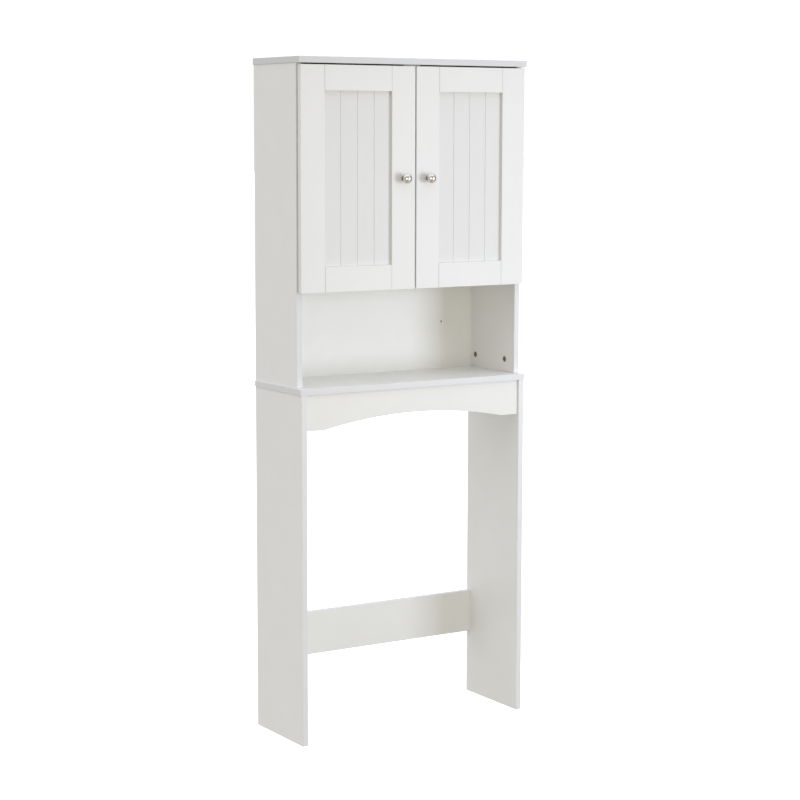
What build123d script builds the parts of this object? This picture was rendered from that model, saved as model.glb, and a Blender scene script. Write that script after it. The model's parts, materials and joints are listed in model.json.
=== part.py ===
from build123d import *
import os
from math import sqrt

# Over-the-toilet storage rack: leg frame, open cubby and a two-door cupboard, all of 15 mm board.
#
# Frame: millimetres, +Z up, floor at Z = 0, the doors face -Y, X = 0 midway between the legs.
# The origin is the bottom centre of the bounding box, so Y = 0 lies midway between the knob tips
# and the wall. Right-hand pieces are modelled, and left-hand ones are their mirror images.

# ---- driving dimensions ---------------------------------------------------------------------
BOARD = 15.0                 # every board's thickness
FRAME_W = 640.0              # outer width of the leg frame and of the cupboard
OVERHANG = 2.0               # the shelf and the top stand proud of the sides by this much
HEIGHT = 1640.0              # floor to the top board's upper face
SHELF_TOP = 864.0            # floor to the upper face of the middle shelf
LEG_DEPTH = 228.0            # depth of the legs and of the middle shelf
TOP_DEPTH = 225.0            # depth of the top board
SIDE_DEPTH = 206.0           # depth of the cupboard sides
DOOR_GAP = 2.0               # between the sides' front edges and the doors' back faces
KNOB_PROJECTION = 25.0       # knob tip in front of the door
ARRIS = 0.7                  # rounding of the boards' long edges

APRON_DROP = 86.0            # height of the apron at its ends
APRON_SETBACK = 5.0          # apron front behind the legs' front edges
ARCH_HALF_SPAN = 253.0       # half the width of the arch
ARCH_RISE = 26.5             # height of the arch above its ends

BAR_LOW = 164.5              # floor to the crossbar's lower edge
BAR_HEIGHT = 109.0
BAR_SETBACK = 4.0            # crossbar back face in front of the legs' back edges

CABINET_FLOOR_LOW = 1092.0   # floor to the underside of the cupboard's floor board
BACK_PANEL = 4.0             # thickness of the back panel
BACK_REBATE = 8.0            # back panel's rear face in front of the sides' back edges
GROOVE_DEPTH = 5.0           # groove that the back panel sits in
WALL_HOLE_X = 212.0          # wall-screw holes, from the middle
WALL_HOLE_Z = 984.0
WALL_HOLE_R = 2.0

DOOR_LOW = 1090.0
DOOR_TOP = 1621.5
DOOR_EDGE_INSET = 3.0        # door's outer edge inside the cupboard's outer face
DOOR_MID_GAP = 4.0           # between the two doors
STILE_W = 65.0
RAIL_W = 60.0
PANEL_RECESS = 7.0           # plank panel behind the frame's front face
PLANK_PANEL = 4.0            # thickness of the plank panel
PANEL_TONGUE = 6.0           # depth of the stiles' and rails' grooves
PLANKS = 4                   # planks shown between the stiles
V_HALF_WIDTH = 1.2           # half the width of the V between two planks
V_DEPTH = 0.9

PIN_FROM_EDGE = 7.2          # hinge pin, from the door's outer edge
PIN_FROM_BACK = 9.6          # hinge pin, in front of the door's back face
HINGE_FROM_END = 90.0        # hinge centre, from the door's upper and lower ends
CUP_R = 17.5
CUP_WALL = 0.6
CUP_DEPTH = 12.4
CUP_EDGE = 3.0               # wood left between the cup's bore and the door's edge
CUP_SCREW_STEP = 22.5        # cup screws, above and below the cup's centre
CUP_SCREW_OUT = 9.5          # cup screws, past the cup's centre
RIM_NOTCH_DEPTH = 4.0        # notch in the cup's wall that the open arm swings into
RIM_NOTCH_HALF_H = 7.0
ARM_REACH = 13.0             # pin to the middle of the arm's long leg
ARM_SHEET = 2.0
ARM_HALF_H = 6.0
PLATE_LINE = 37.0            # plate screws behind the side's front edge
PLATE_SCREW_STEP = 16.0      # plate screws, above and below the hinge centre
HINGE_PIN_R = 1.0
HINGE_RUN = 0.05             # radial play of the knuckle on its pin

CAM_R = 7.3                  # cam lock, in a slightly wider bore
CAM_BORE_R = 7.5
CAM_BORE_DEPTH = 12.0
CAM_REACH = 32.5             # joint face to cam centre
CAM_BOLT_GRIP = 11.0         # thread length in the mating board
DOWEL_R = 4.0
DOWEL_IN_FACE = 10.0
DOWEL_IN_EDGE = 20.0

PIN_HOLE_R = 2.5             # shelf-pin holes
PIN_HOLE_DEPTH = 10.0
PIN_HOLE_STEP = 48.0
SHELF_PIN_Z = 1353.5         # middle row, the one in use
SHELF_PIN_Y = (-46.0, 84.0)
SHELF_CLEAR = 1.5            # loose shelf to each side panel
SHELF_SETBACK = 10.0         # loose shelf behind the sides' front edges
SHELF_BACK_CLEAR = 2.0       # loose shelf to the back panel

# ---- derived places -------------------------------------------------------------------------
HALF_W = FRAME_W / 2
INNER_X = HALF_W - BOARD
TOTAL_DEPTH = SIDE_DEPTH + DOOR_GAP + BOARD + KNOB_PROJECTION
WALL_Y = TOTAL_DEPTH / 2                     # the plane of the wall behind the rack
LEG_FRONT = WALL_Y - LEG_DEPTH
TOP_FRONT = WALL_Y - TOP_DEPTH
SIDE_FRONT = WALL_Y - SIDE_DEPTH
DOOR_BACK = SIDE_FRONT - DOOR_GAP
DOOR_FRONT = DOOR_BACK - BOARD
SHELF_LOW = SHELF_TOP - BOARD
TOP_LOW = HEIGHT - BOARD
BACK_REAR = WALL_Y - BACK_REBATE
BACK_FRONT = BACK_REAR - BACK_PANEL
CABINET_FLOOR_TOP = CABINET_FLOOR_LOW + BOARD
BAR_BACK = WALL_Y - BAR_SETBACK
BAR_FRONT = BAR_BACK - BOARD
BAR_TOP = BAR_LOW + BAR_HEIGHT
APRON_FRONT = LEG_FRONT + APRON_SETBACK
APRON_BACK = APRON_FRONT + BOARD
APRON_LOW = SHELF_LOW - APRON_DROP
DOOR_OUTER = HALF_W - DOOR_EDGE_INSET
DOOR_INNER = DOOR_MID_GAP / 2
DOOR_MID_Z = (DOOR_LOW + DOOR_TOP) / 2
KNOB_X = DOOR_INNER + STILE_W / 2
PIN_X = DOOR_OUTER - PIN_FROM_EDGE
PIN_Y = DOOR_BACK - PIN_FROM_BACK
CUP_X = DOOR_OUTER - CUP_EDGE - CUP_R
HINGE_ZS = (DOOR_LOW + HINGE_FROM_END, DOOR_TOP - HINGE_FROM_END)

# where the cams and dowels sit along each joint, in Y for the sides and legs, in Z for the others
SIDE_CAMS, SIDE_DOWELS = (-40.0, 90.5), (-8.0, 58.0)
LEG_CAMS, LEG_DOWELS = (-56.0, 74.0), (-24.0, 104.0)
FLOOR_CAMS, FLOOR_DOWELS = (-50.0, 80.0), (-18.0, 48.0)
APRON_CAM_Z, APRON_DOWEL_Z = APRON_LOW + 43.0, (APRON_LOW + 19.0, APRON_LOW + 67.0)
BAR_CAM_Z, BAR_DOWEL_Z = BAR_LOW + BAR_HEIGHT / 2, (BAR_LOW + 24.0, BAR_TOP - 24.0)

UP = Vector(0, 0, 1)
DOWN = Vector(0, 0, -1)
BACKWARD = Vector(0, 1, 0)
FORWARD = Vector(0, -1, 0)
OUTWARD = Vector(1, 0, 0)                    # on the right-hand half
INWARD = Vector(-1, 0, 0)


# ---- small helpers --------------------------------------------------------------------------
def slab(x, y, z):
    """A box from three (low, high) pairs."""
    size = [span[1] - span[0] for span in (x, y, z)]
    middle = [(span[0] + span[1]) / 2 for span in (x, y, z)]
    return Pos(*middle) * Box(*size)


def board(x, y, z, arris=ARRIS):
    """A sawn board with its edges eased."""
    blank = slab(x, y, z)
    return fillet(blank.edges(), arris)


def rod(start, along, radius, length):
    """A round bar or bore that starts at a point and runs along a direction."""
    frame = Plane(origin=Vector(*start), z_dir=along)
    return frame.location * Cylinder(radius, length, align=(Align.CENTER, Align.CENTER, Align.MIN))


def turned(start, along, outline):
    """A turned piece; outline lists (radius, distance along) from the axis back to the axis."""
    face = make_face(Polyline([(r, 0, s) for r, s in outline], close=True))
    frame = Plane(origin=Vector(*start), z_dir=along)
    return frame.location * revolve(face, Axis.Z)


def face_of(*curves):
    """A flat face inside lines, arcs and polylines that meet end to end."""
    return make_face([edge for curve in curves for edge in curve.edges()])


def prism(corners, low, high):
    """An upright prism over the corners' (x, y) outline."""
    return Pos(0, 0, low) * extrude(make_face(Polyline(corners, close=True)), high - low)


def both_sides(shape):
    """The shape and its mirror image about the middle plane."""
    return [shape, mirror(shape, about=Plane.YZ)]


def group(shapes):
    """Separate solids that share one node."""
    return Compound([solid for shape in shapes for solid in shape.solids()])


def minus(blank, cutters):
    """The blank with every cutter taken out."""
    for cutter in cutters:
        blank = blank - cutter
    return blank


# ---- knock-down joint: cam lock, cam bolt and dowel -----------------------------------------
CAM_BODY = 11.5              # height of the cam
CAM_CAVITY_R = 4.6
CAM_CAVITY_TOP = 3.5         # solid top of the cam over its cavity
CAM_CHAMFER = 0.5
CAM_SLOT_HALF = 2.4          # slot in the cam's wall that takes the bolt's head
CAM_SLOT_RISE = 2.3          # the slot's end past the bolt's axis
CROSS_HALF_LENGTH = 4.0      # screwdriver cross in the cam's face
CROSS_HALF_WIDTH = 0.8
CROSS_DEPTH = 1.8
BOLT_SHANK_R = 3.0
BOLT_SHANK_END = 24.0        # joint face to the end of the shank
BOLT_NECK_R = 1.8
BOLT_HEAD_R = 3.1
BOLT_HEAD = 2.6              # length of the head
BOLT_HEAD_LOW = CAM_REACH - 2
BOLT_CONE = 0.8              # short cones on the bolt
BOLT_TIP = 1.5
BOLT_BORE_R = 4.0
DOWEL_PLAY = 0.5             # dowel to the bottom of its bore
DOWEL_CHAMFER = 1.0


def cam_lock(centre, into, outward):
    """A cam lock; into runs from the joint to the cam, outward is the side it is turned from."""
    frame = Plane(origin=centre + outward * (BOARD / 2), x_dir=into.cross(outward), z_dir=outward)
    body = Cylinder(CAM_R, CAM_BODY, align=(Align.CENTER, Align.CENTER, Align.MAX))
    body = chamfer(body.edges().group_by(Axis.Z)[-1], CAM_CHAMFER)
    cavity_height = CAM_BODY - CAM_CAVITY_TOP
    cavity = Pos(0, 0, -CAM_BODY) * Cylinder(
        CAM_CAVITY_R, cavity_height, align=(Align.CENTER, Align.CENTER, Align.MIN))
    slot = slab((-CAM_SLOT_HALF, CAM_SLOT_HALF), (-CAM_R - 1, 0), (-CAM_BODY, CAM_SLOT_RISE - BOARD / 2))
    bar = slab((-CROSS_HALF_LENGTH, CROSS_HALF_LENGTH), (-CROSS_HALF_WIDTH, CROSS_HALF_WIDTH),
               (-CROSS_DEPTH, 0))
    return frame.location * minus(body, [cavity, slot, bar, Rot(0, 0, 90) * bar])


def cam_bolt(joint, into):
    """The bolt that the cam pulls on; it screws into the mating board's face."""
    tip = -CAM_BOLT_GRIP
    head_top = BOLT_HEAD_LOW + BOLT_HEAD
    outline = [(0, tip), (BOLT_SHANK_R - BOLT_CONE, tip), (BOLT_SHANK_R, tip + BOLT_TIP),
               (BOLT_SHANK_R, BOLT_SHANK_END), (BOLT_NECK_R, BOLT_SHANK_END + BOLT_CONE),
               (BOLT_NECK_R, BOLT_HEAD_LOW - BOLT_CONE), (BOLT_HEAD_R, BOLT_HEAD_LOW),
               (BOLT_HEAD_R, head_top), (BOLT_NECK_R, head_top + BOLT_CONE), (0, head_top + BOLT_CONE)]
    return turned(joint, into, outline)


def dowel(joint, into):
    """A fluted beech dowel, drawn plain, that keeps the joint in line."""
    low = DOWEL_PLAY - DOWEL_IN_FACE
    high = DOWEL_IN_EDGE - DOWEL_PLAY
    tip_r = DOWEL_R - DOWEL_CHAMFER
    outline = [(0, low), (tip_r, low), (DOWEL_R, low + DOWEL_CHAMFER),
               (DOWEL_R, high - DOWEL_CHAMFER), (tip_r, high), (0, high)]
    return turned(joint, into, outline)


class Joint:
    """One edge-to-face joint: bores for both boards, and the hardware that goes in them."""

    def __init__(self, cams, dowels, into, outward):
        cams = [Vector(*p) for p in cams]
        dowels = [Vector(*p) for p in dowels]
        centres = [p + into * CAM_REACH for p in cams]
        self.locks = [cam_lock(c, into, outward) for c in centres]
        self.bolts = [cam_bolt(p, into) for p in cams]
        self.dowels = [dowel(p, into) for p in dowels]
        self.edge_bores = [rod(c + outward * (BOARD / 2), outward * -1, CAM_BORE_R, CAM_BORE_DEPTH)
                           for c in centres]
        self.edge_bores += [rod(p, into, BOLT_BORE_R, CAM_REACH) for p in cams]
        self.edge_bores += [rod(p, into, DOWEL_R, DOWEL_IN_EDGE) for p in dowels]
        self.face_bores = [rod(p, into * -1, BOLT_SHANK_R, CAM_BOLT_GRIP) for p in cams]
        self.face_bores += [rod(p, into * -1, DOWEL_R, DOWEL_IN_FACE) for p in dowels]


def side_joint(cam_ys, dowel_ys, z, into):
    """Joint under or over a right-hand upright, whose cams open towards the middle."""
    x = HALF_W - BOARD / 2
    return Joint([(x, y, z) for y in cam_ys], [(x, y, z) for y in dowel_ys], into, INWARD)


side_to_shelf = side_joint(SIDE_CAMS, SIDE_DOWELS, SHELF_TOP, UP)
side_to_top = side_joint(SIDE_CAMS, SIDE_DOWELS, TOP_LOW, DOWN)
leg_to_shelf = side_joint(LEG_CAMS, LEG_DOWELS, SHELF_LOW, DOWN)
floor_z = CABINET_FLOOR_LOW + BOARD / 2
floor_to_side = Joint([(INNER_X, y, floor_z) for y in FLOOR_CAMS],
                      [(INNER_X, y, floor_z) for y in FLOOR_DOWELS], INWARD, DOWN)
apron_y = APRON_FRONT + BOARD / 2
apron_to_leg = Joint([(INNER_X, apron_y, APRON_CAM_Z)],
                     [(INNER_X, apron_y, z) for z in APRON_DOWEL_Z], INWARD, BACKWARD)
bar_y = BAR_FRONT + BOARD / 2
bar_to_leg = Joint([(INNER_X, bar_y, BAR_CAM_Z)],
                   [(INNER_X, bar_y, z) for z in BAR_DOWEL_Z], INWARD, BACKWARD)
UPPER_JOINTS = (side_to_shelf, side_to_top, floor_to_side)
LOWER_JOINTS = (leg_to_shelf, apron_to_leg, bar_to_leg)


# ---- leg frame ------------------------------------------------------------------------------
def leg_panel():
    """The right leg, from the floor to the middle shelf."""
    blank = board((INNER_X, HALF_W), (LEG_FRONT, WALL_Y), (0, SHELF_LOW))
    return minus(blank, leg_to_shelf.edge_bores + apron_to_leg.face_bores + bar_to_leg.face_bores)


def middle_shelf():
    """Shelf over the legs; the back panel stands in a groove in it."""
    reach = HALF_W + OVERHANG
    blank = board((-reach, reach), (LEG_FRONT, WALL_Y), (SHELF_LOW, SHELF_TOP))
    groove = back_panel_blank()
    bores = side_to_shelf.face_bores + leg_to_shelf.face_bores
    return minus(blank, [groove] + [b for bore in bores for b in both_sides(bore)])


def arched_apron():
    """Front apron with a shallow circular arch between two short flats."""
    ends = [(-INNER_X, SHELF_LOW), (-INNER_X, APRON_LOW), (-ARCH_HALF_SPAN, APRON_LOW)]
    crown = (0, APRON_LOW + ARCH_RISE)
    foot = (ARCH_HALF_SPAN, APRON_LOW)
    outline = face_of(Polyline(ends), ThreePointArc(ends[-1], crown, foot),
                      Polyline([foot, (INNER_X, APRON_LOW), (INNER_X, SHELF_LOW), ends[0]]))
    plane = Plane(origin=(0, APRON_BACK, 0), x_dir=(1, 0, 0), z_dir=(0, -1, 0))
    blank = extrude(plane * outline, BOARD)
    front = blank.faces().sort_by(Axis.Y)[0]
    back = blank.faces().sort_by(Axis.Y)[-1]
    blank = fillet(front.edges() + back.edges(), ARRIS)
    return minus(blank, [b for bore in apron_to_leg.edge_bores for b in both_sides(bore)])


def rear_crossbar():
    """Low crossbar behind the toilet."""
    blank = board((-INNER_X, INNER_X), (BAR_FRONT, BAR_BACK), (BAR_LOW, BAR_TOP))
    return minus(blank, [b for bore in bar_to_leg.edge_bores for b in both_sides(bore)])


# ---- cupboard shell -------------------------------------------------------------------------
def back_panel_blank():
    """The back panel's full outline, tongues included."""
    reach = INNER_X + GROOVE_DEPTH
    return slab((-reach, reach), (BACK_FRONT, BACK_REAR),
                (SHELF_TOP - GROOVE_DEPTH, TOP_LOW + GROOVE_DEPTH))


def back_panel():
    """Back panel with two holes for wall screws, low in the open cubby."""
    hole = rod((WALL_HOLE_X, BACK_FRONT, WALL_HOLE_Z), BACKWARD, WALL_HOLE_R, BACK_PANEL)
    return minus(back_panel_blank(), both_sides(hole))


def shelf_pin_holes():
    """Three rows of shelf-pin holes in the right side panel."""
    rows = [SHELF_PIN_Z + step * PIN_HOLE_STEP for step in (-1, 0, 1)]
    return [rod((INNER_X, y, z), OUTWARD, PIN_HOLE_R, PIN_HOLE_DEPTH) for z in rows for y in SHELF_PIN_Y]


def side_panel():
    """The right side of the cupboard, from the middle shelf to the top."""
    blank = board((INNER_X, HALF_W), (SIDE_FRONT, WALL_Y), (SHELF_TOP, TOP_LOW))
    bores = side_to_shelf.edge_bores + side_to_top.edge_bores + floor_to_side.face_bores
    bores += [screw.bore for screw in plate_screws()]
    return minus(blank, [back_panel_blank()] + bores + shelf_pin_holes())


def top_panel():
    """Top board, proud of the sides and of the doors."""
    reach = HALF_W + OVERHANG
    blank = board((-reach, reach), (TOP_FRONT, WALL_Y), (TOP_LOW, HEIGHT))
    bores = [b for bore in side_to_top.face_bores for b in both_sides(bore)]
    bores += [screw.bore for screw in catch_screws()]
    return minus(blank, [back_panel_blank()] + bores)


def cabinet_floor():
    """Floor of the cupboard, hidden behind the doors' lower edge."""
    height = (CABINET_FLOOR_LOW, CABINET_FLOOR_TOP)
    blank = board((-INNER_X, INNER_X), (SIDE_FRONT, BACK_FRONT), height)
    return minus(blank, [b for bore in floor_to_side.edge_bores for b in both_sides(bore)])


def adjustable_shelf():
    """Loose shelf that lies on four pins."""
    reach = INNER_X - SHELF_CLEAR
    low = SHELF_PIN_Z + PIN_HOLE_R
    depth = (SIDE_FRONT + SHELF_SETBACK, BACK_FRONT - SHELF_BACK_CLEAR)
    return board((-reach, reach), depth, (low, low + BOARD))


SHELF_PIN_IN = 9.0           # length of a shelf pin in the side panel, and past its collar
SHELF_PIN_COLLAR_R = 3.6
SHELF_PIN_COLLAR = 1.0
SHELF_PIN_CHAMFER = 0.5


def shelf_pin(y):
    """A steel pin with a collar, half of it in the side panel."""
    tip_r = PIN_HOLE_R - SHELF_PIN_CHAMFER
    shoulder = SHELF_PIN_IN + SHELF_PIN_COLLAR
    end = shoulder + SHELF_PIN_IN
    outline = [(0, 0), (tip_r, 0), (PIN_HOLE_R, SHELF_PIN_CHAMFER), (PIN_HOLE_R, SHELF_PIN_IN),
               (SHELF_PIN_COLLAR_R, SHELF_PIN_IN), (SHELF_PIN_COLLAR_R, shoulder),
               (PIN_HOLE_R, shoulder), (PIN_HOLE_R, end - SHELF_PIN_CHAMFER), (tip_r, end), (0, end)]
    return turned((INNER_X + SHELF_PIN_IN, y, SHELF_PIN_Z), INWARD, outline)


# ---- screws ---------------------------------------------------------------------------------
HEAD_RIM = 0.4               # straight rim of a pan head, as a share of the head's height
HEAD_CROSS = 0.55            # half the cross recess, as a share of the head's radius
CROSS_SLOT_HALF = 0.35
SCREW_POINT_R = 0.3


class Screw:
    """A pan-head screw; at is the seat under its head, into the way it is driven."""

    def __init__(self, at, into, head_r, head_h, shank_r, length):
        rim = HEAD_RIM * head_h
        outline = [(0, -head_h), (head_r + rim - head_h, -head_h), (head_r, -rim), (head_r, 0),
                   (shank_r, 0), (shank_r, length - 2 * shank_r), (SCREW_POINT_R, length), (0, length)]
        cross = HEAD_CROSS * head_r
        slot = slab((-cross, cross), (-CROSS_SLOT_HALF, CROSS_SLOT_HALF), (-head_h, -rim))
        frame = Plane(origin=Vector(*at), z_dir=into)
        recess = frame.location * (slot + Rot(0, 0, 90) * slot)
        self.solid = turned(at, into, outline) - recess
        self.bore = rod(at, into, shank_r, length)


# ---- concealed hinge ------------------------------------------------------------------------
ARM_X = PIN_X - ARM_REACH                 # middle of the arm's long leg
ARM_OUTER = ARM_X + ARM_SHEET / 2         # its face towards the side panel
ARM_BACK_Y = SIDE_FRONT + 58.0            # where the arm ends inside the cupboard
KNUCKLE_R = 2.0
CUP_FLANGE = 1.0
CUP_LIP = 1.2                             # flange past the cup's wall
CUP_WING_HALF_H = 28.0
CUP_WING_HALF_W = 5.75
CORNER = 4.0                              # rounded corners of the cup's and plate's wings
PLATE_WING = 2.0                          # thickness of the plate's wings
PLATE_WING_HALF_W = 7.0
PLATE_WING_HALF_H = 22.0
PLATE_FRONT_Y = SIDE_FRONT + 22.0


def cup_screws():
    """Two screws for each cup of the right door."""
    x = CUP_X - CUP_SCREW_OUT
    return [Screw((x, DOOR_BACK + CUP_FLANGE, z + step), FORWARD, 3.3, 1.4, 1.6, 11.0)
            for z in HINGE_ZS for step in (-CUP_SCREW_STEP, CUP_SCREW_STEP)]


def plate_screws():
    """Two screws for each plate on the right side panel."""
    y = SIDE_FRONT + PLATE_LINE
    return [Screw((INNER_X - PLATE_WING, y, z + step), OUTWARD, 3.3, 1.4, 1.8, 12.0)
            for z in HINGE_ZS for step in (-PLATE_SCREW_STEP, PLATE_SCREW_STEP)]


def cup_bore(z):
    """The bore in the door for one hinge cup."""
    return rod((CUP_X, DOOR_BACK, z), FORWARD, CUP_R, CUP_DEPTH)


def pin_half_length():
    """The pin reaches into the cup's wall, above and below its hollow."""
    off_centre = PIN_X - CUP_X
    hollow = sqrt((CUP_R - CUP_WALL) ** 2 - off_centre ** 2)
    outside = sqrt(CUP_R ** 2 - off_centre ** 2)
    return hollow + 0.8 * (outside - hollow)


def hinge_pin(z):
    """Steel pin that the arm's knuckle turns on."""
    half = pin_half_length()
    return rod((PIN_X, PIN_Y, z - half), UP, HINGE_PIN_R, 2 * half)


def hinge_cup(z):
    """Pressed cup with a flange and two screw wings on the door's back face."""
    inner_r = CUP_R - CUP_WALL
    flange_top = DOOR_BACK + CUP_FLANGE
    body = rod((CUP_X, DOOR_BACK, z), FORWARD, CUP_R, CUP_DEPTH)
    lip = rod((CUP_X, DOOR_BACK, z), BACKWARD, CUP_R + CUP_LIP, CUP_FLANGE)
    wing_x = CUP_X - CUP_SCREW_OUT
    wing = slab((wing_x - CUP_WING_HALF_W, wing_x + CUP_WING_HALF_W), (DOOR_BACK, flange_top),
                (z - CUP_WING_HALF_H, z + CUP_WING_HALF_H))
    wing = fillet(wing.edges().filter_by(Axis.Y), CORNER)
    trim = slab((CUP_X + inner_r, DOOR_OUTER), (DOOR_BACK, flange_top), (z - CUP_R, z + CUP_R))
    notch = slab((CUP_X, CUP_X + CUP_R), (DOOR_BACK - RIM_NOTCH_DEPTH, flange_top),
                 (z - RIM_NOTCH_HALF_H, z + RIM_NOTCH_HALF_H))
    hollow = rod((CUP_X, flange_top, z), FORWARD, inner_r, CUP_FLANGE + CUP_DEPTH - CUP_WALL)
    bores = [screw.bore for screw in cup_screws()]
    return minus(body + lip + wing, [trim, notch, hollow, hinge_pin(z)] + bores)


def hinge_arm(z):
    """Goose-neck arm: a knuckle on the pin, a short leg in the cup, a long leg into the cupboard."""
    half = ARM_SHEET / 2
    height = (z - ARM_HALF_H, z + ARM_HALF_H)
    knuckle = rod((PIN_X, PIN_Y, z - ARM_HALF_H), UP, KNUCKLE_R, 2 * ARM_HALF_H)
    short_leg = slab((ARM_X - half, PIN_X), (PIN_Y - half, PIN_Y + half), height)
    long_leg = slab((ARM_X - half, ARM_X + half), (PIN_Y - half, ARM_BACK_Y), height)
    bore = rod((PIN_X, PIN_Y, z - ARM_HALF_H), UP, HINGE_PIN_R + HINGE_RUN, 2 * ARM_HALF_H)
    arm = knuckle + short_leg + long_leg
    outer_corner = arm.edges().filter_by(Axis.Z).sort_by_distance((ARM_X - half, PIN_Y - half, z))[0]
    arm = fillet(outer_corner, half)
    return minus(arm, [bore] + [screw.bore for screw in arm_screws()])


def arm_screws():
    """One screw that holds each arm on its plate."""
    y = SIDE_FRONT + PLATE_LINE
    x = ARM_X - ARM_SHEET / 2
    return [Screw((x, y, z), OUTWARD, 3.0, 1.6, 2.0, 8.0) for z in HINGE_ZS]


def hinge_plate(z):
    """Cross-shaped mounting plate: two low wings on the side panel and a raised middle."""
    y = SIDE_FRONT + PLATE_LINE
    wings = slab((INNER_X - PLATE_WING, INNER_X), (y - PLATE_WING_HALF_W, y + PLATE_WING_HALF_W),
                 (z - PLATE_WING_HALF_H, z + PLATE_WING_HALF_H))
    wings = fillet(wings.edges().filter_by(Axis.X), CORNER)
    middle = slab((ARM_OUTER, INNER_X), (PLATE_FRONT_Y, ARM_BACK_Y), (z - ARM_HALF_H, z + ARM_HALF_H))
    bores = [screw.bore for screw in plate_screws() + arm_screws()]
    return minus(wings + middle, bores)


# ---- doors ----------------------------------------------------------------------------------
DOOR_Y = (DOOR_FRONT, DOOR_BACK)
PANEL_Y = (DOOR_FRONT + PANEL_RECESS, DOOR_FRONT + PANEL_RECESS + PLANK_PANEL)
RAIL_X = (DOOR_INNER + STILE_W, DOOR_OUTER - STILE_W)
PANEL_X = (RAIL_X[0] - PANEL_TONGUE, RAIL_X[1] + PANEL_TONGUE)
PANEL_Z = (DOOR_LOW + RAIL_W - PANEL_TONGUE, DOOR_TOP - RAIL_W + PANEL_TONGUE)
HINGE_EDGE_EASE = 1.5        # eased back corner that swings past the side panel
FRAME_ARRIS = 0.5


def hinge_stile():
    """Outer stile of the right door: cup bores, panel groove, eased back corner."""
    blank = board((RAIL_X[1], DOOR_OUTER), DOOR_Y, (DOOR_LOW, DOOR_TOP), FRAME_ARRIS)
    corner = [(DOOR_OUTER - HINGE_EDGE_EASE, DOOR_BACK), (DOOR_OUTER, DOOR_BACK),
              (DOOR_OUTER, DOOR_BACK - HINGE_EDGE_EASE)]
    wedge = prism(corner, DOOR_LOW, DOOR_TOP)
    groove = slab((RAIL_X[1], PANEL_X[1]), PANEL_Y, (DOOR_LOW, DOOR_TOP))
    bores = [cup_bore(z) for z in HINGE_ZS] + [screw.bore for screw in cup_screws()]
    pin_notches = [hinge_pin(z) for z in HINGE_ZS]
    return minus(blank, [wedge, groove] + bores + pin_notches)


def meeting_stile():
    """Inner stile of the right door, with the knob's hole."""
    blank = board((DOOR_INNER, RAIL_X[0]), DOOR_Y, (DOOR_LOW, DOOR_TOP), FRAME_ARRIS)
    groove = slab((PANEL_X[0], RAIL_X[0]), PANEL_Y, (DOOR_LOW, DOOR_TOP))
    hole = rod((KNOB_X, DOOR_BACK, DOOR_MID_Z), FORWARD, KNOB_HOLE_R, BOARD)
    return minus(blank, [groove, hole, strike_screw().bore])


def rail(low, groove_z):
    """A rail between the stiles: stub tenons on its ends, a groove for the panel."""
    height = (low, low + RAIL_W)
    middle = board(RAIL_X, DOOR_Y, height, FRAME_ARRIS)
    tenons = slab(PANEL_X, PANEL_Y, height)
    groove = slab(PANEL_X, PANEL_Y, groove_z)
    return minus(middle + tenons, [groove])


def plank_panel():
    """Thin panel in the frame's grooves, V-cut to look like planks."""
    blank = slab(PANEL_X, PANEL_Y, PANEL_Z)
    plank = (RAIL_X[1] - RAIL_X[0]) / PLANKS
    y = PANEL_Y[0]
    vees = []
    for i in range(1, PLANKS):
        x = RAIL_X[0] + i * plank
        corners = [(x - V_HALF_WIDTH, y), (x + V_HALF_WIDTH, y), (x, y + V_DEPTH)]
        vees.append(prism(corners, *PANEL_Z))
    return minus(blank, vees)


# ---- knob -----------------------------------------------------------------------------------
KNOB_SCREW_R = 2.0
KNOB_HOLE_R = 2.2            # the screw's hole through the door
KNOB_THREAD = 10.0           # length of the tapped hole in the knob
KNOB_FOOT_R = 6.0
KNOB_NECK_R = 3.6
KNOB_HEAD_R = 12.0


def knob():
    """Turned mushroom knob with a small foot and a waisted neck."""
    foot_top, waist, neck_top = (KNOB_FOOT_R, 1.6), (KNOB_NECK_R, 6.5), (KNOB_FOOT_R, 12.0)
    rim_low, rim_wide, rim_high = (10.2, 14.4), (KNOB_HEAD_R, 17.4), (11.0, 20.2)
    dome_rise = KNOB_PROJECTION - rim_high[1]
    dome_r = (rim_high[0] ** 2 + dome_rise ** 2) / (2 * dome_rise)
    dome_x = rim_high[0] / 2
    dome_mid = (dome_x, KNOB_PROJECTION - dome_r + sqrt(dome_r ** 2 - dome_x ** 2))
    half_section = face_of(
        Polyline([(KNOB_SCREW_R, 0), (KNOB_FOOT_R, 0), foot_top]),
        ThreePointArc(foot_top, waist, neck_top),
        Line(neck_top, rim_low),
        ThreePointArc(rim_low, rim_wide, rim_high),
        ThreePointArc(rim_high, dome_mid, (0, KNOB_PROJECTION)),
        Polyline([(0, KNOB_PROJECTION), (0, KNOB_THREAD), (KNOB_SCREW_R, KNOB_THREAD), (KNOB_SCREW_R, 0)]))
    frame = Plane(origin=(KNOB_X, DOOR_FRONT, DOOR_MID_Z), x_dir=(-1, 0, 0), z_dir=(0, 0, 1))
    return frame.location * revolve(half_section, Axis.Y)


def knob_screw():
    """Machine screw from the door's back into the knob."""
    length = BOARD + KNOB_THREAD - 1
    return Screw((KNOB_X, DOOR_BACK, DOOR_MID_Z), FORWARD, 4.0, 2.2, KNOB_SCREW_R, length).solid


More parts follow.
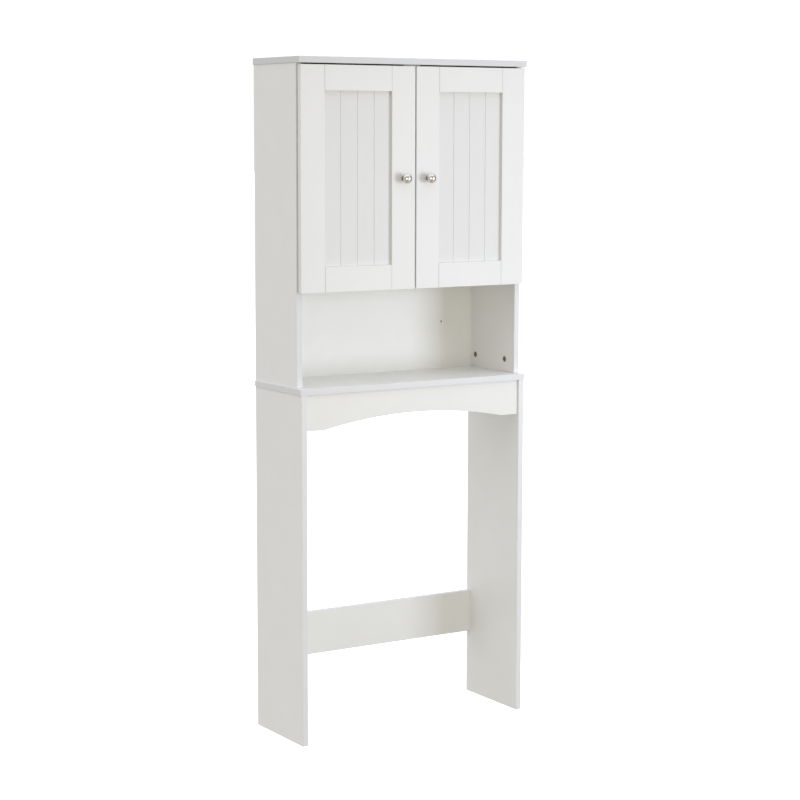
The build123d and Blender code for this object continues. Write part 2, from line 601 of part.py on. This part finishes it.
# ---- magnetic catch -------------------------------------------------------------------------
CATCH_X = (-24.0, 24.0)
CATCH_Y = (SIDE_FRONT + 1.5, SIDE_FRONT + 22.0)
CATCH_Z = (TOP_LOW - 14.0, TOP_LOW)
CATCH_CORNER = 2.0
EAR = 3.0                    # thickness of the screw ear behind the housing
EAR_Y = (CATCH_Y[1] - 1.0, CATCH_Y[1] + 10.0)
EAR_SCREW_X = 14.0
EAR_SCREW_Y = CATCH_Y[1] + 5.0
MAGNET_X = (5.0, 19.0)
MAGNET_Y = (DOOR_BACK + 1.8, CATCH_Y[1] - 8.0)
MAGNET_Z = (CATCH_Z[0] + 3.0, CATCH_Z[0] + 9.0)
STRIKE = 1.4                 # thickness of the strike plate
STRIKE_X = (MAGNET_X[0] - 1.0, MAGNET_X[1] + 1.0)
STRIKE_Z = (MAGNET_Z[0] - 11.0, MAGNET_Z[1] + 0.5)
STRIKE_SCREW_Z = STRIKE_Z[0] + 5.0
BUMPER_FROM_EDGE = 12.0      # bumper, from the door's inner edge


def catch_screws():
    """Two screws through the catch's ear into the top board."""
    return [Screw((x, EAR_SCREW_Y, TOP_LOW - EAR), UP, 3.3, 1.5, 1.6, 14.0)
            for x in (-EAR_SCREW_X, EAR_SCREW_X)]


def catch_housing():
    """Moulded housing of the double magnetic catch, with a screw ear behind it."""
    body = slab(CATCH_X, CATCH_Y, CATCH_Z)
    body = fillet(body.edges().filter_by(Axis.Z), CATCH_CORNER)
    ear = slab(CATCH_X, EAR_Y, (TOP_LOW - EAR, TOP_LOW))
    pockets = both_sides(slab(MAGNET_X, (CATCH_Y[0], MAGNET_Y[1]), MAGNET_Z))
    return minus(body + ear, pockets + [screw.bore for screw in catch_screws()])


def strike_screw():
    """Screw that holds the strike plate on the right door's back."""
    seat = ((STRIKE_X[0] + STRIKE_X[1]) / 2, DOOR_BACK + STRIKE, STRIKE_SCREW_Z)
    return Screw(seat, FORWARD, 2.8, 1.0, 1.5, 9.0)


def strike_plate():
    """Steel plate that the right-hand magnet pulls on."""
    blank = slab(STRIKE_X, (DOOR_BACK, DOOR_BACK + STRIKE), STRIKE_Z)
    blank = fillet(blank.edges().filter_by(Axis.Y), CATCH_CORNER)
    return blank - strike_screw().bore


def bumper():
    """Soft dome near the right door's lower inner corner; it meets the cupboard's floor board."""
    outline = [(0, 0), (4.0, 0), (3.8, 0.9), (2.8, 1.5), (0, 1.7)]
    return turned((DOOR_INNER + BUMPER_FROM_EDGE, DOOR_BACK, floor_z), BACKWARD, outline)


# ---- every node -----------------------------------------------------------------------------
def hardware(joints, kind):
    """All the pieces of one kind from a set of right-hand joints, on both sides."""
    pieces = [piece for joint in joints for piece in getattr(joint, kind)]
    return group(side for piece in pieces for side in both_sides(piece))


def paired():
    """Right-hand pieces that come with a mirrored left-hand twin."""
    return {
        "leg_panel": leg_panel(),
        "side_panel": side_panel(),
        "hinge_stile": hinge_stile(),
        "meeting_stile": meeting_stile(),
        "top_rail": rail(DOOR_TOP - RAIL_W, (DOOR_TOP - RAIL_W, PANEL_Z[1])),
        "bottom_rail": rail(DOOR_LOW, (PANEL_Z[0], DOOR_LOW + RAIL_W)),
        "plank_panel": plank_panel(),
        "knob": knob(),
        "knob_screw": knob_screw(),
        "hinge_cups": group(hinge_cup(z) for z in HINGE_ZS),
        "hinge_pins": group(hinge_pin(z) for z in HINGE_ZS),
        "cup_screws": group(screw.solid for screw in cup_screws()),
        "hinge_arms": group(hinge_arm(z) for z in HINGE_ZS),
        "hinge_plates": group(hinge_plate(z) for z in HINGE_ZS),
        "hinge_plate_screws": group(screw.solid for screw in plate_screws() + arm_screws()),
        "strike_plate": strike_plate(),
        "strike_screw": strike_screw().solid,
        "bumper": bumper(),
    }


def single():
    """Pieces that there is one node of."""
    pins = [side for y in SHELF_PIN_Y for side in both_sides(shelf_pin(y))]
    magnets = both_sides(slab(MAGNET_X, MAGNET_Y, MAGNET_Z))
    return {
        "middle_shelf": middle_shelf(),
        "arched_apron": arched_apron(),
        "rear_crossbar": rear_crossbar(),
        "back_panel": back_panel(),
        "top_panel": top_panel(),
        "cabinet_floor": cabinet_floor(),
        "adjustable_shelf": adjustable_shelf(),
        "shelf_pins": group(pins),
        "upper_cam_locks": hardware(UPPER_JOINTS, "locks"),
        "upper_cam_bolts": hardware(UPPER_JOINTS, "bolts"),
        "upper_dowels": hardware(UPPER_JOINTS, "dowels"),
        "lower_cam_locks": hardware(LOWER_JOINTS, "locks"),
        "lower_cam_bolts": hardware(LOWER_JOINTS, "bolts"),
        "lower_dowels": hardware(LOWER_JOINTS, "dowels"),
        "catch_housing": catch_housing(),
        "catch_magnets": group(magnets),
        "catch_screws": group(screw.solid for screw in catch_screws()),
    }


def main():
    os.makedirs("parts", exist_ok=True)
    nodes = single()
    for name, shape in paired().items():
        nodes["right_" + name] = shape
        nodes["left_" + name] = mirror(shape, about=Plane.YZ)
    for name, shape in nodes.items():
        export_step(shape, "parts/" + name + ".step")


main()
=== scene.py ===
import json
from math import cos, radians, sin

import bpy
from mathutils import Matrix, Vector


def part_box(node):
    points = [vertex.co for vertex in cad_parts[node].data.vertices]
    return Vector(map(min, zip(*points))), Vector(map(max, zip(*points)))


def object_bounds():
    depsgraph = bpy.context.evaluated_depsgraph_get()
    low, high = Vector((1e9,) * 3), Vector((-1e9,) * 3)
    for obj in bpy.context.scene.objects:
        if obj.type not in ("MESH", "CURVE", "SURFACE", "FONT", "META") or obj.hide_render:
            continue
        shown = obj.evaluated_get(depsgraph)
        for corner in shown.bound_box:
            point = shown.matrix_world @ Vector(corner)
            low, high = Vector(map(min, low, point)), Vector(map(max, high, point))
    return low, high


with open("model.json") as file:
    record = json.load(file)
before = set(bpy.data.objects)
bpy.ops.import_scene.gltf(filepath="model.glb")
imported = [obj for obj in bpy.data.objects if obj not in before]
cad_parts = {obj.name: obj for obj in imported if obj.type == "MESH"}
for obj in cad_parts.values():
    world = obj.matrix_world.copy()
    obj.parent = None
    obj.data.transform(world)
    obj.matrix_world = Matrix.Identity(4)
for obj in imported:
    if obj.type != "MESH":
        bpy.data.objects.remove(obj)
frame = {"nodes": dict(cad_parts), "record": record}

CAD_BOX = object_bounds()
MM = 0.001

# ---- camera ---------------------------------------------------------------------------------
CAMERA_AT = Vector((-2.742, -4.394, 1.473))
CAMERA_YAW = radians(32.14)          # turned right of +Y
CAMERA_DIP = radians(7.32)
CAMERA_ROLL = radians(0.12)
LENS_MM = 94.96
SENSOR_MM = 36.0

# ---- light, in watts and world strength -----------------------------------------------------
LAMP_HEIGHT = 1.0                    # middle of both softboxes
KEY_YAW = radians(36)                # key softbox, right of the doors' normal
KEY_DISTANCE = 4.0
KEY_SIZE = (1.5, 2.0)
KEY_POWER = 61.5
KEY_COLOUR = (0.790, 0.843, 1.0)
FILL_YAW = radians(-10)              # wide fill softbox, beside the camera
FILL_DISTANCE = 4.5
FILL_SIZE = (3.0, 1.9)
FILL_POWER = 38.0
FILL_COLOUR = (1.0, 0.968, 0.851)
WALL_LIGHT = {                       # of each axis, from its - side and its + side
    "X": ((0.474, 0.437, 0.397), (0.430, 0.394, 0.330)),
    "Y": ((0.157, 0.146, 0.094), (0.612, 0.655, 0.690)),
    "Z": ((0.0, 0.0, 0.0), (0.985, 1.035, 1.150)),
}
WALL_FULL_AT = 0.9                   # a side's light is full for rays that lie this near its axis
CEILING_FROM = 0.2                   # the ceiling's light starts this far above the horizon
MIRRORED_FLOOR = (0.34, 0.34, 0.34)  # the pale floor as gloss mirrors it
BACKDROP_GLOW = 1.05                 # a little over 1, so that it's plain white
FLOOR_GLOW = 0.85                    # with the lamps' light on it, the same white
FLOOR_WHITE = (0.90, 0.90, 0.89)
FLOOR_ROUGHNESS = 0.6
FLOOR_HALF = 60.0                    # so wide that its edge is lost in the backdrop

# ---- finishes -------------------------------------------------------------------------------
FACE_WHITE = (0.872, 0.872, 0.857)
BAND_WHITE = (0.750, 0.757, 0.772)
# painted light and shade: each listed part's white is made lighter or darker for the light it gets
FACE_PAINTED_LIGHT = {"middle_shelf": 1.06, "arched_apron": 0.97, "rear_crossbar": 0.97}
BAND_PAINTED_LIGHT = {"top_panel": 0.92, "leg_panel": 1.06}
SEAM_GREY = (0.42, 0.40, 0.36)       # glue line between a band and a face
SEAM_SHARE = 0.25
CORE_BROWNS = ((0.30, 0.205, 0.125), (0.56, 0.43, 0.29))
LACQUER_WHITE = (0.829, 0.829, 0.821)
PANEL_WHITE = (0.758, 0.757, 0.750)
JOINT_PAINTED_SHADE = (0.44, 0.435, 0.42)     # painted shade of the groove at a rail's shoulder
REAR_WHITE = (0.720, 0.710, 0.675)
FIBRE_AND_HOLE_SHADE = (0.060, 0.036, 0.024)   # bare fibre, made near black as painted shade of the screw holes
NICKEL_TONES = ((0.72, 0.69, 0.665), (0.84, 0.815, 0.79))
NICKEL_RIM_PAINTED_REFLECTION = (0.34, 0.28, 0.25, 1.0)         # painted reflection: a dark brown tint on its mirror image at grazing angles
# painted shade in a knob's neck, under its head
NECK_PAINTED_SHADE = (0.29, 0.235, 0.205)
ZINC_TONES = ((0.19, 0.115, 0.08), (0.50, 0.365, 0.28))
BEECH_TONES = ((0.50, 0.33, 0.20), (0.68, 0.50, 0.33))
BEECH_RAY = (0.34, 0.20, 0.11)
RAY_IN_NOISE = (0.62, 0.70)          # rays are the noise's peaks
FERRITE_TONES = ((0.035, 0.033, 0.035), (0.11, 0.105, 0.11))
COATED_BOARD_IOR = 1.5
MELAMINE_ROUGHNESS = (0.36, 0.46)    # each from the smoothest to the roughest spot
BAND_SMOOTHER = 0.06                 # than the faces
CORE_ROUGHNESS = 0.85
LACQUER_ROUGHNESS = (0.33, 0.42)
HARDBOARD_ROUGHNESS = (0.42, 0.72)   # foil in front, thin coat behind
NICKEL_ROUGHNESS = (0.13, 0.22)
ZINC_ROUGHNESS = (0.38, 0.60)
BEECH_ROUGHNESS = 0.62
FERRITE_ROUGHNESS = 0.55

# ---- places on the pieces -------------------------------------------------------------------
BAND_SEAM = 0.3 * MM                 # the edge band goes this far round onto the board's face
SKIN = 1.0 * MM                      # a board that is cut deeper than this shows its core
FADE = 1.3                           # a change that starts at a depth is complete at FADE of it
APRON_CORE_FROM = 255.0 * MM         # past the arch, whose curved edge is banded
TENON = 6.0 * MM                     # how far a rail's ends go into the stiles
JOINT_LINE = 0.9 * MM                # width of the line of painted shade along a rail's shoulders
WALL_HOLE_X = 212.0 * MM             # the back panel's screw holes, from the middle
WALL_HOLE_Z = 984.0 * MM
WALL_HOLE_R = 2.0 * MM
HOLE_SHADE_FROM = WALL_HOLE_R + 1.1 * MM   # painted shade round them, a ragged near-black ring, narrower where the fibres stand high
HOLE_SHADE_TO = WALL_HOLE_R + 1.4 * MM
HOLE_SHADE_RAGGED = 0.6 * MM
HOLE_WALL_TO_FACE = (0.3, 0.6)       # along Y, the normal of a hole's wall is shorter than these
NECK = (0.34, 0.56)                  # a knob's neck starts and ends at these shares of its depth

USUAL = (0.3, 0.7)                   # nearly all of a noise's values lie between these


class Shader:
    """One material with a Principled shader, and short calls for the nodes that feed it."""

    def __init__(self, name, **fixed):
        self.material = bpy.data.materials.new(name)
        self.material.use_nodes = True
        self.tree = self.material.node_tree
        self.tree.nodes.clear()
        output = self.tree.nodes.new("ShaderNodeOutputMaterial")
        self.surface = self.tree.nodes.new("ShaderNodeBsdfPrincipled")
        self.tree.links.new(self.surface.outputs["BSDF"], output.inputs["Surface"])
        for socket, value in fixed.items():
            self.surface.inputs[socket.replace("_", " ")].default_value = value
        where = self.tree.nodes.new("ShaderNodeTexCoord")
        self.place, self.normal = where.outputs["Object"], where.outputs["Normal"]

    def feed(self, socket, value):
        """A link or a plain value into a socket."""
        if isinstance(value, bpy.types.NodeSocket):
            self.tree.links.new(value, socket)
        elif isinstance(value, tuple) and len(socket.default_value) == 4:
            socket.default_value = (*value, 1.0)
        else:
            socket.default_value = value

    def math(self, operation, a, b=0.0):
        node = self.tree.nodes.new("ShaderNodeMath")
        node.operation = operation
        self.feed(node.inputs[0], a)
        self.feed(node.inputs[1], b)
        return node.outputs[0]

    def vector(self, operation, a, b=(0.0, 0.0, 0.0)):
        node = self.tree.nodes.new("ShaderNodeVectorMath")
        node.operation = operation
        self.feed(node.inputs[0], a)
        self.feed(node.inputs[1], b)
        return node.outputs[0]

    def axes(self, value):
        node = self.tree.nodes.new("ShaderNodeSeparateXYZ")
        self.feed(node.inputs[0], value)
        return dict(zip("XYZ", node.outputs))

    def span(self, value, low, high, to_low=0.0, to_high=1.0, kind="SMOOTHSTEP"):
        """Maps low..high onto to_low..to_high."""
        node = self.tree.nodes.new("ShaderNodeMapRange")
        node.interpolation_type = kind
        for socket, number in zip(node.inputs[:5], (value, low, high, to_low, to_high)):
            self.feed(socket, number)
        return node.outputs[0]

    def mix(self, share, a, b):
        node = self.tree.nodes.new("ShaderNodeMix")
        node.data_type = "RGBA"
        self.feed(node.inputs[0], share)
        self.feed(node.inputs[6], a)
        self.feed(node.inputs[7], b)
        return node.outputs[2]

    def noise(self, size, detail=2.0, stretch=(1.0, 1.0, 1.0)):
        """Noise whose blotches are about size metres, longer along an axis stretched over 1."""
        node = self.tree.nodes.new("ShaderNodeTexNoise")
        self.feed(node.inputs["Vector"], self.vector("DIVIDE", self.place, stretch))
        node.inputs["Scale"].default_value = 1 / size
        node.inputs["Detail"].default_value = detail
        return node.outputs["Fac"]

    def cells(self, size, stretch=(1.0, 1.0, 1.0)):
        """A random grey for each cell of about size metres."""
        node = self.tree.nodes.new("ShaderNodeTexVoronoi")
        self.feed(node.inputs["Vector"], self.vector("DIVIDE", self.place, stretch))
        node.inputs["Scale"].default_value = 1 / size
        return self.axes(node.outputs["Color"])["X"]

    def tint(self, colour, value, amount):
        """The colour, made up to that share lighter and darker by a value from 0 to 1."""
        level = self.span(value, *USUAL, 1 - amount, 1 + amount, "LINEAR")
        node = self.tree.nodes.new("ShaderNodeMix")
        node.data_type = "RGBA"
        node.blend_type = "MULTIPLY"
        node.inputs[0].default_value = 1.0
        self.feed(node.inputs[6], colour)
        self.feed(node.inputs[7], level)
        return node.outputs[2]

    def bump(self, height, depth):
        """Relief depth metres high."""
        node = self.tree.nodes.new("ShaderNodeBump")
        node.inputs["Distance"].default_value = depth
        self.feed(node.inputs["Height"], height)
        self.tree.links.new(node.outputs[0], self.surface.inputs["Normal"])

    def finish(self, colour, roughness):
        self.feed(self.surface.inputs["Base Color"], colour)
        self.feed(self.surface.inputs["Roughness"], roughness)
        return self.material


def wear(node, material):
    """Puts a material on a CAD node."""
    piece = frame["nodes"][node]
    piece.data.materials.clear()
    piece.data.materials.append(material)


# ---- boards ---------------------------------------------------------------------------------
def depth_inside(shader, node):
    """Distance in from each pair of the node's box faces, per axis."""
    low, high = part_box(node)
    off_centre = shader.vector("SUBTRACT", shader.place, tuple((low + high) / 2))
    return shader.axes(shader.vector("SUBTRACT", tuple((high - low) / 2),
                                     shader.vector("ABSOLUTE", off_centre)))


def chip_core(shader):
    """Raw particle board: pressed chips of several browns."""
    chips = shader.cells(1.6 * MM, (1.6, 1.6, 1.0))
    return shader.tint(shader.mix(chips, *CORE_BROWNS), shader.noise(0.5 * MM), 0.25)


def painted_light_tone(white, share):
    """The white made a share lighter or darker, as painted light or shade for one part."""
    return tuple(share * channel for channel in white)


def melamine(node, kind):
    """White melamine board with banded edges, and raw core where it is cut deep."""
    shader = Shader("melamine." + node, IOR=COATED_BOARD_IOR)
    inside = depth_inside(shader, node)
    depth = shader.math("MINIMUM", shader.math("MINIMUM", inside["X"], inside["Y"]), inside["Z"])
    core = shader.span(depth, SKIN, FADE * SKIN)
    if kind == "arched_apron":
        off_middle = shader.math("ABSOLUTE", shader.axes(shader.place)["X"])
        past_arch = shader.math("GREATER_THAN", off_middle, APRON_CORE_FROM)
        core = shader.math("MULTIPLY", core, past_arch)
    from_face = inside[THIN_AXIS[kind]]
    band = shader.span(from_face, BAND_SEAM, FADE * BAND_SEAM)
    seam = shader.math("SUBTRACT", shader.span(from_face, 0.8 * BAND_SEAM, BAND_SEAM), band)
    cloud = shader.noise(60 * MM, 3.0)
    pearl = shader.noise(0.7 * MM, 2.0)
    # painted light and shade: the part's face and band whites are scaled for the light it gets
    white = shader.mix(band, painted_light_tone(FACE_WHITE, FACE_PAINTED_LIGHT.get(kind, 1.0)),
                       painted_light_tone(BAND_WHITE, BAND_PAINTED_LIGHT.get(kind, 1.0)))
    white = shader.tint(shader.tint(white, cloud, 0.008), pearl, 0.012)
    white = shader.mix(shader.math("MULTIPLY", seam, SEAM_SHARE), white, SEAM_GREY)
    colour = shader.mix(core, white, chip_core(shader))
    rough = shader.span(pearl, *USUAL, *MELAMINE_ROUGHNESS)
    rough = shader.math("SUBTRACT", rough, shader.math("MULTIPLY", band, BAND_SMOOTHER))
    rough = shader.math("MAXIMUM", rough, shader.math("MULTIPLY", core, CORE_ROUGHNESS))
    shader.bump(pearl, 0.012 * MM)
    return shader.finish(colour, rough)


def lacquer(node, along):
    """Sprayed white lacquer over a smooth board, with the board's faint grain along one axis."""
    shader = Shader("lacquer." + node, IOR=COATED_BOARD_IOR)
    stretch = tuple(60.0 if axis == along else 1.0 for axis in "XYZ")
    grain = shader.noise(1.1 * MM, 3.0, stretch)
    peel = shader.noise(2.4 * MM, 1.0)
    cloud = shader.noise(80 * MM, 2.0)
    white = PANEL_WHITE if "plank" in node else LACQUER_WHITE
    colour = shader.tint(shader.tint(white, cloud, 0.006), grain, 0.010)
    # painted shade: a grey line along a rail's shoulders, where the joint's groove lies in shade
    if "rail" in node:
        past_shoulder = depth_inside(shader, node)["X"]
        clear = shader.math("GREATER_THAN", past_shoulder, TENON + JOINT_LINE)
        colour = shader.mix(clear, JOINT_PAINTED_SHADE, colour)
    relief = shader.math("ADD", shader.math("MULTIPLY", grain, 0.5), peel)
    shader.bump(relief, 0.014 * MM)
    return shader.finish(colour, shader.span(peel, *USUAL, *LACQUER_ROUGHNESS))


def back_board(node):
    """Hardboard, white foil in front; its rear has one thin coat that lets the fibres show.

    The screw holes' walls, which face neither way, and a ragged ring round their rims are
    painted near-black: bare fibre darkened as painted shade, so that the holes look dark.
    """
    shader = Shader("hardboard." + node, IOR=COATED_BOARD_IOR)
    low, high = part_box(node)
    at = shader.axes(shader.place)
    rear = shader.span(at["Y"], (low.y + high.y) / 2, high.y - 0.1 * MM)
    fibres = shader.noise(3.0 * MM, 6.0, (2.5, 1.0, 1.0))
    front = shader.tint(FACE_WHITE, shader.noise(70 * MM, 2.0), 0.008)
    behind = shader.tint(shader.tint(REAR_WHITE, fibres, 0.07), shader.noise(90 * MM, 3.0), 0.03)
    coat = shader.mix(rear, front, behind)
    # painted shade: the holes' walls and a ring round their rims go near black
    across = shader.math("SUBTRACT", shader.math("ABSOLUTE", at["X"]), WALL_HOLE_X)
    up = shader.math("SUBTRACT", at["Z"], WALL_HOLE_Z)
    square = shader.math("ADD", shader.math("MULTIPLY", across, across),
                         shader.math("MULTIPLY", up, up))
    from_hole = shader.math("ADD", shader.math("SQRT", square),
                            shader.math("MULTIPLY", fibres, HOLE_SHADE_RAGGED))
    facing = shader.math("ABSOLUTE", shader.axes(shader.normal)["Y"])
    flat = shader.span(facing, *HOLE_WALL_TO_FACE)
    clear_of_hole_shade = shader.math("MULTIPLY", shader.span(from_hole, HOLE_SHADE_FROM, HOLE_SHADE_TO), flat)
    relief = shader.math("MULTIPLY", fibres, shader.span(rear, 0.0, 1.0, 0.15, 1.0))
    shader.bump(relief, 0.05 * MM)
    return shader.finish(shader.mix(clear_of_hole_shade, FIBRE_AND_HOLE_SHADE, coat),
                         shader.span(rear, 0.0, 1.0, *HARDBOARD_ROUGHNESS))


# ---- metal ----------------------------------------------------------------------------------
def polished_nickel():
    """Polished nickel plate with faint swirls; painted shade darkens the neck, and a painted
    reflection tints the rim brown.
    """
    shader = Shader("polished_nickel", Metallic=1.0, Specular_Tint=NICKEL_RIM_PAINTED_REFLECTION)
    low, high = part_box("left_knob")
    front, rear = (low.y + share * (high.y - low.y) for share in NECK)
    neck = shader.span(shader.axes(shader.place)["Y"], front, rear)
    swirl = shader.noise(1.2 * MM, 5.0, (1.0, 3.0, 1.0))
    nickel = shader.mix(shader.noise(6 * MM, 2.0), *NICKEL_TONES)
    shader.bump(swirl, 0.002 * MM)
    # painted shade: the neck goes dark brown
    return shader.finish(shader.mix(neck, nickel, NECK_PAINTED_SHADE),
                         shader.span(swirl, *USUAL, *NICKEL_ROUGHNESS))


def zinc_casting():
    """Raw die-cast zinc with a brownish skin, brighter where the mould pressed it smooth."""
    shader = Shader("zinc_casting", Metallic=1.0)
    skin = shader.noise(1.5 * MM, 4.0)
    grit = shader.noise(0.25 * MM, 2.0)
    colour = shader.tint(shader.mix(skin, *ZINC_TONES), grit, 0.10)
    shader.bump(grit, 0.02 * MM)
    return shader.finish(colour, shader.span(skin, *USUAL, *ZINC_ROUGHNESS))


def drawn_steel(name, bright, dull, roughness):
    """Plated steel with fine draw marks along Z and cloudy plating."""
    shader = Shader(name, Metallic=1.0)
    marks = shader.noise(0.18 * MM, 3.0, (1.0, 1.0, 12.0))
    clouds = shader.noise(3 * MM, 3.0)
    colour = shader.tint(shader.mix(clouds, dull, bright), marks, 0.05)
    shader.bump(marks, 0.004 * MM)
    return shader.finish(colour, shader.span(clouds, *USUAL, roughness, roughness + 0.12))


# ---- other stuff ----------------------------------------------------------------------------
def beech():
    """Raw beech with short dark rays."""
    shader = Shader("beech")
    grain = shader.noise(0.9 * MM, 4.0, (8.0, 1.0, 1.0))
    rays = shader.span(shader.noise(0.5 * MM, 1.0, (5.0, 1.0, 1.0)), *RAY_IN_NOISE)
    shader.bump(grain, 0.05 * MM)
    wood = shader.mix(rays, shader.mix(grain, *BEECH_TONES), BEECH_RAY)
    return shader.finish(wood, BEECH_ROUGHNESS)


def ferrite():
    """Sintered magnet: near black, finely pitted."""
    shader = Shader("ferrite", Metallic=0.3)
    pits = shader.noise(0.3 * MM, 4.0)
    shader.bump(pits, 0.03 * MM)
    return shader.finish(shader.mix(pits, *FERRITE_TONES), FERRITE_ROUGHNESS)


def moulded(name, colour, roughness, **fixed):
    """Moulded polymer with a spark-eroded texture."""
    shader = Shader(name, **fixed)
    spark = shader.noise(0.35 * MM, 2.0)
    flow = shader.noise(9 * MM, 2.0)
    shader.bump(spark, 0.012 * MM)
    return shader.finish(shader.tint(colour, flow, 0.03),
                         shader.span(spark, *USUAL, roughness - 0.06, roughness + 0.06))


# ---- every node's finish, by its name or else by its material slot --------------------------
THIN_AXIS = {"leg_panel": "X", "side_panel": "X", "arched_apron": "Y", "rear_crossbar": "Y",
             "middle_shelf": "Z", "top_panel": "Z", "cabinet_floor": "Z", "adjustable_shelf": "Z"}
LONG_AXIS = {"hinge_stile": "Z", "meeting_stile": "Z", "plank_panel": "Z",
             "top_rail": "X", "bottom_rail": "X"}

BY_SLOT = {
    "knob_metal": polished_nickel(),
    "zinc_casting": zinc_casting(),
    "fastener_steel": drawn_steel("fastener_steel", (0.74, 0.73, 0.71), (0.55, 0.54, 0.53), 0.28),
    "plated_steel": drawn_steel("plated_steel", (0.80, 0.79, 0.77), (0.66, 0.65, 0.64), 0.18),
    "beech": beech(),
    "magnet": ferrite(),
    "catch_plastic": moulded("catch_plastic", (0.80, 0.80, 0.785), 0.42),
    "bumper_rubber": moulded("clear_silicone", (0.78, 0.79, 0.79), 0.25,
                             Transmission_Weight=0.6, IOR=1.41),
}


def finish_nodes():
    for part in frame["record"]["subparts"]:
        node = part["node"]
        kind = node.replace("left_", "").replace("right_", "")
        if kind == "back_panel":
            wear(node, back_board(node))
        elif kind in THIN_AXIS:
            wear(node, melamine(node, kind))
        elif kind in LONG_AXIS:
            wear(node, lacquer(node, LONG_AXIS[kind]))
        else:
            wear(node, BY_SLOT[part["material_slot"]])


# ---- the studio -----------------------------------------------------------------------------
def aimed(direction):
    """Rotation whose -Z looks along a direction, with +Y as far up as it goes."""
    return direction.to_track_quat("-Z", "Y").to_matrix().to_4x4()


def add_camera():
    camera = bpy.data.objects.new("camera", bpy.data.cameras.new("camera"))
    camera.data.lens = LENS_MM
    camera.data.sensor_width = SENSOR_MM
    level = cos(CAMERA_DIP)
    look = Vector((level * sin(CAMERA_YAW), level * cos(CAMERA_YAW), -sin(CAMERA_DIP)))
    camera.matrix_world = (Matrix.Translation(CAMERA_AT) @ aimed(look)
                           @ Matrix.Rotation(CAMERA_ROLL, 4, "Z"))
    bpy.context.scene.collection.objects.link(camera)
    bpy.context.scene.camera = camera


def add_softbox(name, yaw, distance, size, power, colour):
    """A softbox that stands at a yaw from the doors' normal and faces the rack."""
    light = bpy.data.lights.new(name, "AREA")
    light.shape = "RECTANGLE"
    light.size, light.size_y = size
    light.energy = power
    light.color = colour
    low, high = CAD_BOX
    middle = Vector(((low.x + high.x) / 2, (low.y + high.y) / 2, LAMP_HEIGHT))
    to_lamp = distance * Vector((sin(yaw), -cos(yaw), 0))
    lamp = bpy.data.objects.new(name, light)
    lamp.matrix_world = Matrix.Translation(middle + to_lamp) @ aimed(-to_lamp)
    bpy.context.scene.collection.objects.link(lamp)


def add_world():
    """A studio whose walls and ceiling light the rack, each in its own colour.

    Only gloss sees a floor below them, and the camera sees plain white all round.
    """
    world = bpy.data.worlds.new("studio")
    world.use_nodes = True
    tree = world.node_tree
    tree.nodes.clear()
    axes = tree.nodes.new("ShaderNodeSeparateXYZ")
    tree.links.new(tree.nodes.new("ShaderNodeTexCoord").outputs["Generated"], axes.inputs[0])
    rays = tree.nodes.new("ShaderNodeLightPath").outputs
    total = None

    def add_lobe(axis, side, colour, share=None):
        """Light of one colour from one side of an axis; a socket may give its strength."""
        nonlocal total
        lobe = tree.nodes.new("ShaderNodeMapRange")
        lobe.interpolation_type = "SMOOTHSTEP"
        tree.links.new(axes.outputs[axis], lobe.inputs[0])
        lobe.inputs["From Min"].default_value = CEILING_FROM if (axis, side) == ("Z", 1) else 0.0
        lobe.inputs["From Max"].default_value = WALL_FULL_AT * side
        if share is not None:
            tree.links.new(share, lobe.inputs["To Max"])
        glow = tree.nodes.new("ShaderNodeVectorMath")
        glow.operation = "SCALE"
        glow.inputs[0].default_value = colour
        tree.links.new(lobe.outputs[0], glow.inputs["Scale"])
        if total is None:
            total = glow.outputs[0]
            return
        both = tree.nodes.new("ShaderNodeVectorMath")
        tree.links.new(total, both.inputs[0])
        tree.links.new(glow.outputs[0], both.inputs[1])
        total = both.outputs[0]

    for axis, colours in WALL_LIGHT.items():
        for side, colour in zip((-1, 1), colours):
            add_lobe(axis, side, colour)
    add_lobe("Z", -1, MIRRORED_FLOOR, rays["Is Glossy Ray"])
    studio = tree.nodes.new("ShaderNodeBackground")
    tree.links.new(total, studio.inputs["Color"])
    backdrop = tree.nodes.new("ShaderNodeBackground")
    backdrop.inputs["Color"].default_value = (1.0, 1.0, 1.0, 1.0)
    backdrop.inputs["Strength"].default_value = BACKDROP_GLOW
    choose = tree.nodes.new("ShaderNodeMixShader")
    tree.links.new(rays["Is Camera Ray"], choose.inputs[0])
    tree.links.new(studio.outputs[0], choose.inputs[1])
    tree.links.new(backdrop.outputs[0], choose.inputs[2])
    tree.links.new(choose.outputs[0], tree.nodes.new("ShaderNodeOutputWorld").inputs["Surface"])
    bpy.context.scene.world = world


def add_floor():
    """Plain pale floor, lit so evenly that it runs into the backdrop."""
    corners = [(x * FLOOR_HALF, y * FLOOR_HALF, 0) for x, y in ((-1, -1), (1, -1), (1, 1), (-1, 1))]
    mesh = bpy.data.meshes.new("floor")
    mesh.from_pydata(corners, [], [(0, 1, 2, 3)])
    shader = Shader("pale_floor", Emission_Color=(1.0, 1.0, 1.0, 1.0), Emission_Strength=FLOOR_GLOW)
    grain = shader.noise(30 * MM, 3.0)
    mesh.materials.append(shader.finish(shader.tint(FLOOR_WHITE, grain, 0.006), FLOOR_ROUGHNESS))
    floor = bpy.data.objects.new("floor", mesh)
    bpy.context.scene.collection.objects.link(floor)
    floor.visible_diffuse = False        # the world stands in for its bounce light
    floor.visible_glossy = False         # and for its mirror image


finish_nodes()
add_camera()
add_softbox("key", KEY_YAW, KEY_DISTANCE, KEY_SIZE, KEY_POWER, KEY_COLOUR)
add_softbox("fill", FILL_YAW, FILL_DISTANCE, FILL_SIZE, FILL_POWER, FILL_COLOUR)
add_world()
add_floor()
bpy.context.scene.view_settings.view_transform = "Standard"
